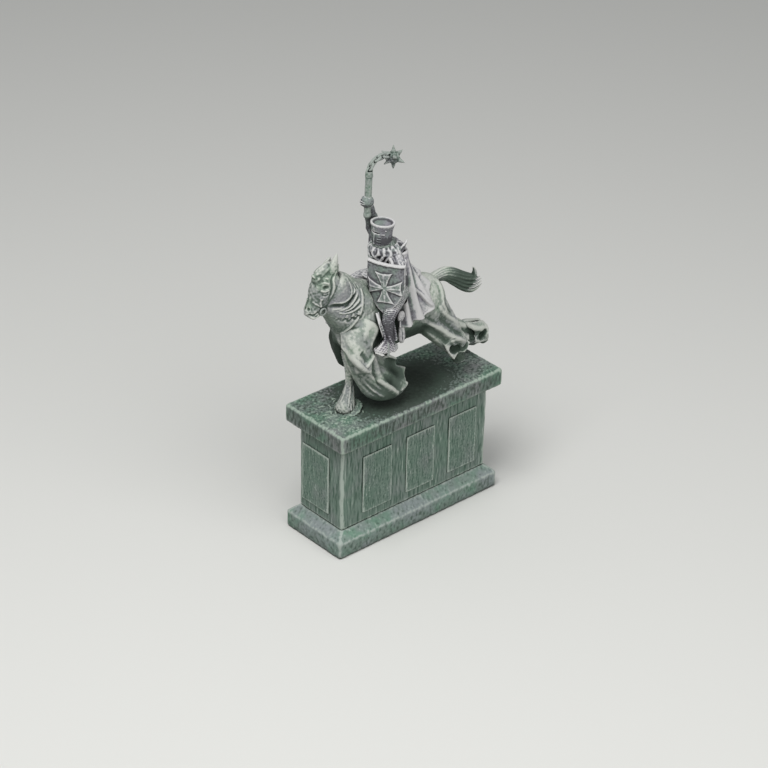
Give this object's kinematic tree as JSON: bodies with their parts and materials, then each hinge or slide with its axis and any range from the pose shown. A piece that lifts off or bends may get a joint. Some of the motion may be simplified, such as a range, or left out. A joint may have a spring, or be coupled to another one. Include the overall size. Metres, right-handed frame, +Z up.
{
  "type": "painted equestrian miniature on a plinth",
  "caption": "Painted miniature statuette of a mounted knight with shield and raised flail, horse in a flowing caparison, on a tall panelled rectangular plinth.",
  "frame": {"origin": "middle of the plinth's flat underside", "axes": "+X the way the horse faces, +Y the rider's left, +Z up"},
  "size_m": [0.0692, 0.0251, 0.1142],
  "materials": {
    "stone_paint_on_resin": "matt acrylic, dark green-grey dry-brushed pale along the edges",
    "verdigris_paint_on_resin": "matt acrylic, pale grey-green over a near-black wash",
    "verdigris_paint_on_white_metal": "matt acrylic, grey-green over a near-black wash",
    "dark_iron_paint_on_white_metal": "matt acrylic, dark brown-grey with a thin pale dry-brush",
    "brass_wire": "drawn wire, unseen in the assembled piece"
  },
  "bodies": {
    "root": {"plinth_base": "stone_paint_on_resin", "plinth_core": "stone_paint_on_resin", "plinth_cap": "stone_paint_on_resin", "side_panels_left": "stone_paint_on_resin", "side_panels_right": "stone_paint_on_resin", "end_panel_front": "stone_paint_on_resin", "end_panel_rear": "stone_paint_on_resin", "horse_half_left": "verdigris_paint_on_resin", "horse_half_right": "verdigris_paint_on_resin", "horse_head": "verdigris_paint_on_resin", "horse_tail": "verdigris_paint_on_resin", "foreleg_planted": "verdigris_paint_on_resin", "foreleg_raised": "verdigris_paint_on_resin", "front_drape_left": "verdigris_paint_on_resin", "front_drape_right": "verdigris_paint_on_resin", "hind_drape_left": "verdigris_paint_on_resin", "hind_drape_right": "verdigris_paint_on_resin", "hind_hoof_left": "verdigris_paint_on_resin", "hind_hoof_right": "verdigris_paint_on_resin", "ground_patch": "verdigris_paint_on_resin", "saddle": "verdigris_paint_on_white_metal", "rider_torso": "verdigris_paint_on_white_metal", "helm": "verdigris_paint_on_white_metal", "rider_arm_right": "verdigris_paint_on_white_metal", "gauntlet_right": "verdigris_paint_on_white_metal", "rider_arm_left": "verdigris_paint_on_white_metal", "rider_leg_left": "verdigris_paint_on_white_metal", "rider_leg_right": "verdigris_paint_on_white_metal", "cloak": "verdigris_paint_on_white_metal", "shield": "verdigris_paint_on_white_metal", "sword_scabbard": "verdigris_paint_on_white_metal", "stirrup_leathers": "verdigris_paint_on_white_metal", "bit_rings": "dark_iron_paint_on_white_metal", "mail_collar": "dark_iron_paint_on_white_metal", "stirrups": "dark_iron_paint_on_white_metal", "flail_haft": "dark_iron_paint_on_white_metal", "flail_chain": "dark_iron_paint_on_white_metal", "flail_ball": "dark_iron_paint_on_white_metal", "hoof_pin": "brass_wire", "joint_pins": "brass_wire"}
  },
  "joints": []
}
